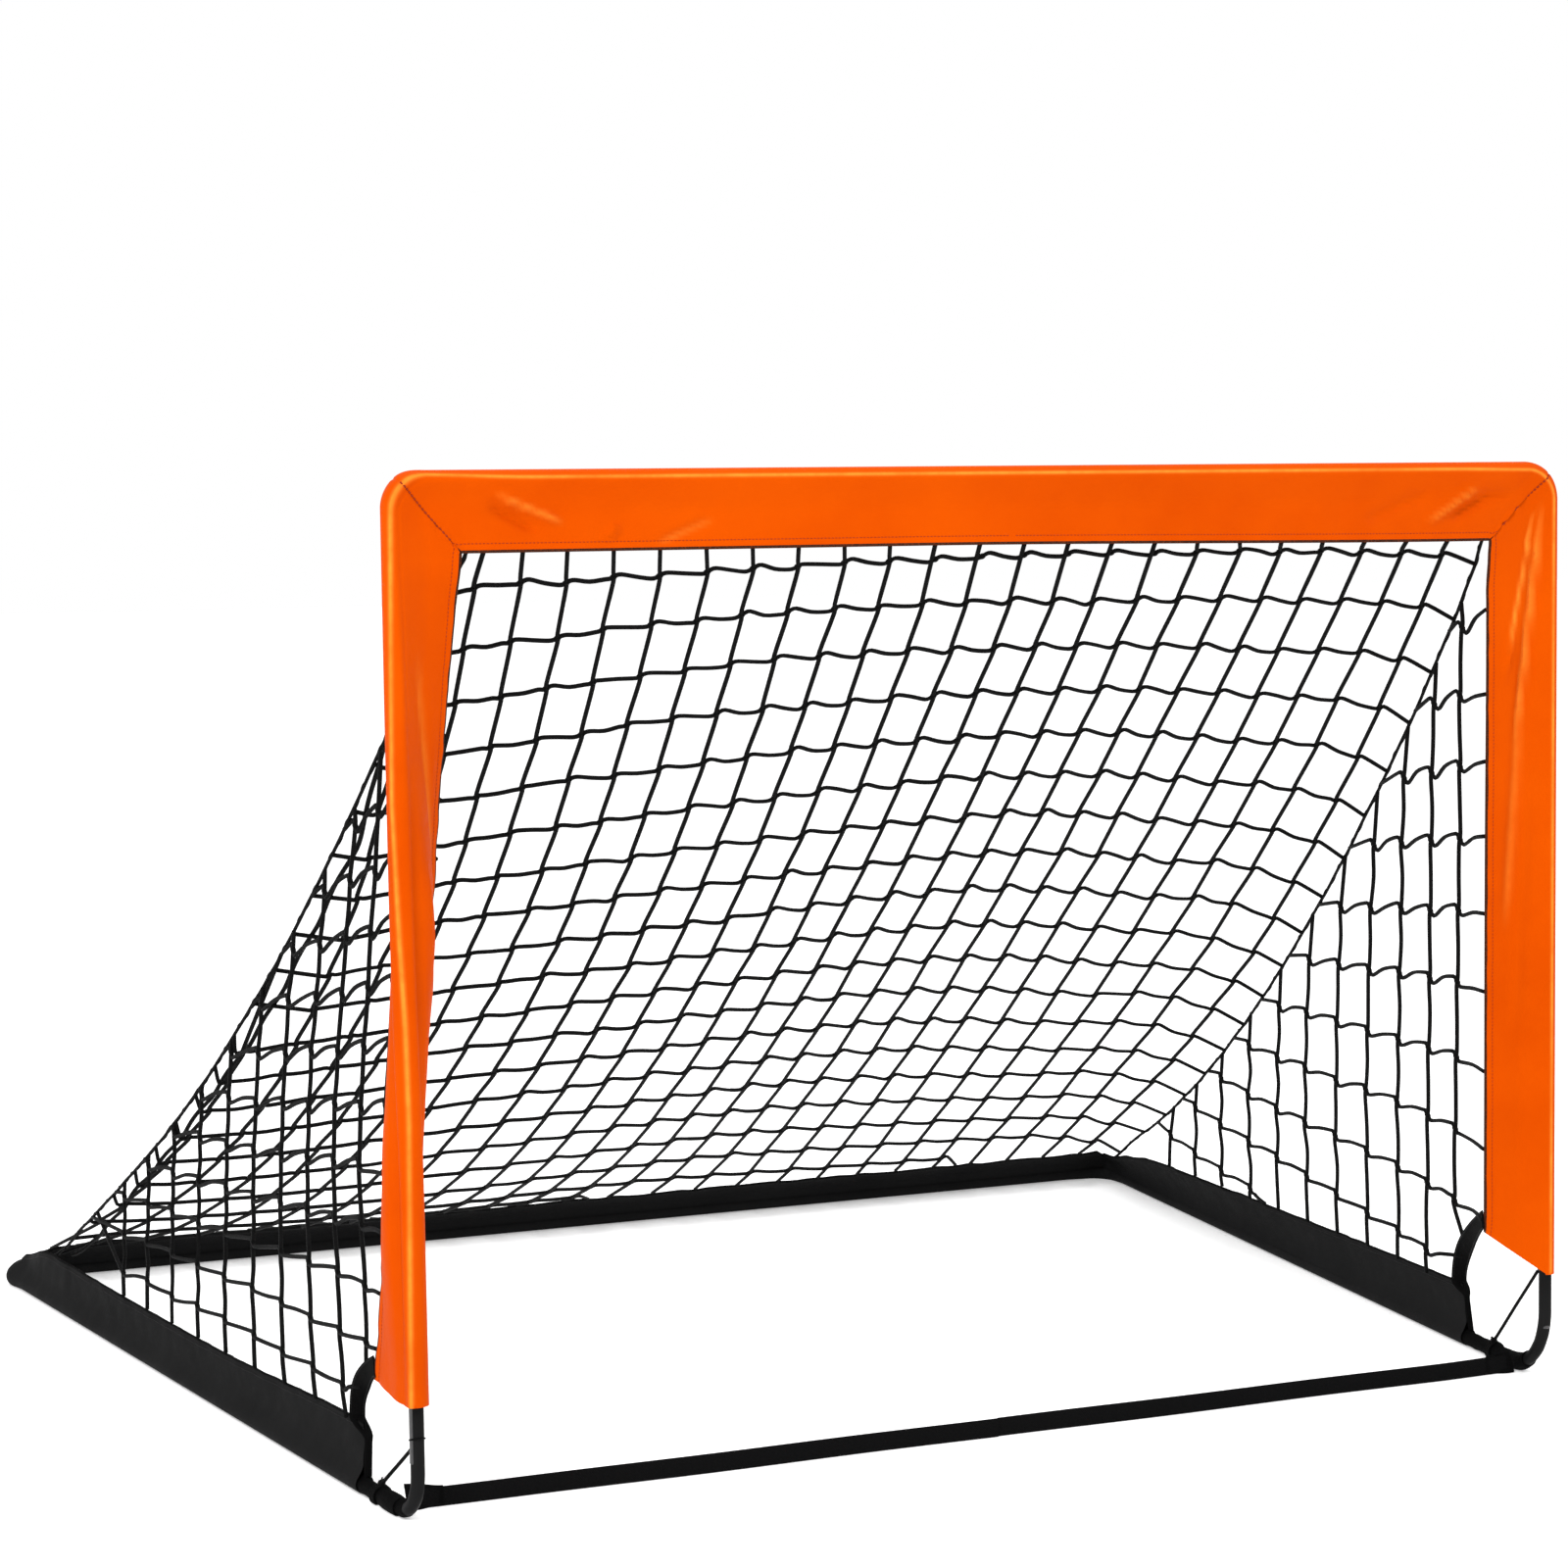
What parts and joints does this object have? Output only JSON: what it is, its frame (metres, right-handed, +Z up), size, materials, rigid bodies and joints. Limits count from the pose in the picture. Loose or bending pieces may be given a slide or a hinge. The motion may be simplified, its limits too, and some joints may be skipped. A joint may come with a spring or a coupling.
{
  "type": "portable soccer goal",
  "caption": "Portable soccer goal: rods in orange and black fabric sleeves joined by rubber elbows, black netting on the back and sides, folding flat at its corners and middles.",
  "frame": {"origin": "on the ground under the middle of the bounding box", "axes": "+X across the goal to the viewer's right when facing the mouth, -Y out of the mouth towards the player, +Z up"},
  "size_m": [1.4842, 1.214, 0.9398],
  "materials": {
    "orange_fabric": "satin woven polyester",
    "black_fabric": "satin woven polyester",
    "webbing": "matt woven webbing",
    "netting": "matt twisted cord netting",
    "cord": "matt braided cord",
    "rod": "satin glass-fibre rod",
    "rubber": "satin rubber tube"
  },
  "bodies": {
    "left_frame": {"post_pole_left": "rod", "side_pole_left": "rod", "elbow_front_left": "rubber", "elbow_top_left": "rubber", "elbow_rear_left": "rubber", "post_sleeve_left": "orange_fabric", "side_sleeve_left": "black_fabric", "corner_cover_left": "webbing", "front_strap_left": "webbing", "web_band_left": "webbing", "stay_cord_left": "cord", "back_net_left": "netting", "side_net_left": "netting", "seam_rope_left": "cord"},
    "rear_left": {"rear_pole_left": "rod", "rear_sleeve_left": "black_fabric", "coupler_rear": "rubber"},
    "rear_right": {"rear_pole_right": "rod", "rear_sleeve_right": "black_fabric"},
    "right_frame": {"post_pole_right": "rod", "side_pole_right": "rod", "elbow_front_right": "rubber", "elbow_top_right": "rubber", "elbow_rear_right": "rubber", "post_sleeve_right": "orange_fabric", "side_sleeve_right": "black_fabric", "corner_cover_right": "webbing", "front_strap_right": "webbing", "web_band_right": "webbing", "stay_cord_right": "cord", "back_net_right": "netting", "side_net_right": "netting", "seam_rope_right": "cord"},
    "crossbar_left": {"crossbar_pole_left": "rod", "crossbar_sleeve_left": "orange_fabric", "coupler_crossbar": "rubber"},
    "crossbar_right": {"crossbar_pole_right": "rod", "crossbar_sleeve_right": "orange_fabric"}
  },
  "joints": [
    {"name": "rear_left_corner", "type": "hinge", "parent": "left_frame", "child": "rear_left", "pos_m": [-0.71941, 0.58237, 0.0076], "axis": [0, 0, -1], "range_deg": [0, 77.65], "deforming": ["elbow_rear_left", "side_sleeve_left", "rear_sleeve_left", "back_net_left", "front_strap_left"]},
    {"name": "rear_centre", "type": "hinge", "parent": "rear_left", "child": "rear_right", "pos_m": [0, 0.60759, 0.0076], "axis": [0, 0, 1], "range_deg": [0, 164.05], "deforming": ["coupler_rear"]},
    {"name": "rear_right_corner", "type": "hinge", "parent": "rear_right", "child": "right_frame", "pos_m": [0.71941, 0.58237, 0.0076], "axis": [0, 0, -1], "range_deg": [0, 77.7], "deforming": ["elbow_rear_right", "side_sleeve_right", "rear_sleeve_right", "back_net_right", "front_strap_right"]},
    {"name": "crossbar_left_corner", "type": "hinge", "parent": "left_frame", "child": "crossbar_left", "pos_m": [-0.6025, -0.59791, 0.8609], "axis": [0, 1, 0], "range_deg": [0, 88.24], "deforming": ["elbow_top_left", "post_sleeve_left", "crossbar_sleeve_left", "coupler_crossbar"]},
    {"name": "crossbar_right_corner", "type": "hinge", "parent": "right_frame", "child": "crossbar_right", "pos_m": [0.6025, -0.59791, 0.8609], "axis": [0, -1, 0], "range_deg": [0, 88.24], "deforming": ["elbow_top_right", "post_sleeve_right", "crossbar_sleeve_right"]}
  ],
  "couplings": [
    {"joint": "rear_centre", "follows": "rear_left_corner", "ratio": 2.112},
    {"joint": "rear_right_corner", "follows": "rear_left_corner", "ratio": 1},
    {"joint": "crossbar_left_corner", "follows": "rear_left_corner", "ratio": 1.1358},
    {"joint": "crossbar_right_corner", "follows": "rear_left_corner", "ratio": 1.1358}
  ]
}
